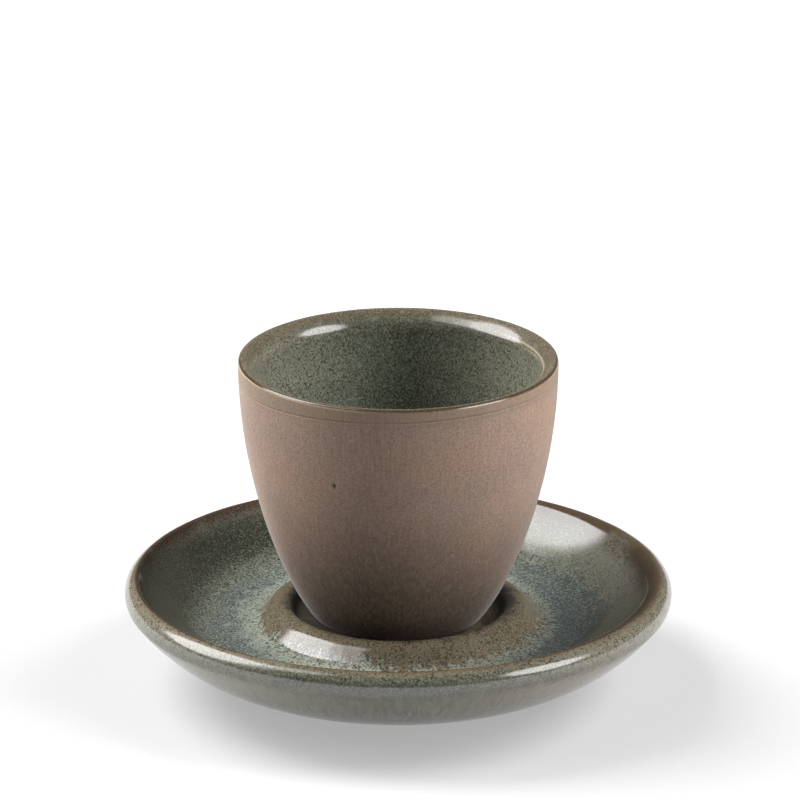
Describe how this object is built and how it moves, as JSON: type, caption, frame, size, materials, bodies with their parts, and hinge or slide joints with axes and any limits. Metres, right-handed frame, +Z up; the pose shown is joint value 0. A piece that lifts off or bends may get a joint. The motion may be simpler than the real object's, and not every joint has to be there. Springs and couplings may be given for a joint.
{
  "type": "espresso cup and saucer",
  "caption": "Handleless stoneware espresso cup, bare clay outside and glazed inside, standing in the sunk well of a thick dished saucer with a raised ring.",
  "frame": {"origin": "centre of the saucer's foot ring, on the table it stands on", "axes": "+Z up along the axis both pieces are turned about; every direction round it is alike"},
  "size_m": [0.1164, 0.1164, 0.0708],
  "materials": {
    "bare_clay": "matt unglazed stoneware, fine grained and faintly scratched",
    "cup_glaze": "glossy grey-green glaze with fine dark speckles, brown at the lip",
    "saucer_clay": "matt unglazed stoneware",
    "saucer_glaze": "glossy grey-green glaze with dark speckles, bluish where it pools and brown on edges",
    "recess_glaze": "glossy grey-blue glaze"
  },
  "bodies": {
    "saucer": {"saucer_body": "saucer_clay", "saucer_glaze": "saucer_glaze", "recess_glaze": "recess_glaze"},
    "cup": {"cup_body": "bare_clay", "cup_glaze": "cup_glaze"}
  },
  "joints": [
    {"name": "cup_lift", "type": "slide", "parent": "saucer", "child": "cup", "axis": [0, 0, 1], "range_m": [0, 0.08]}
  ]
}
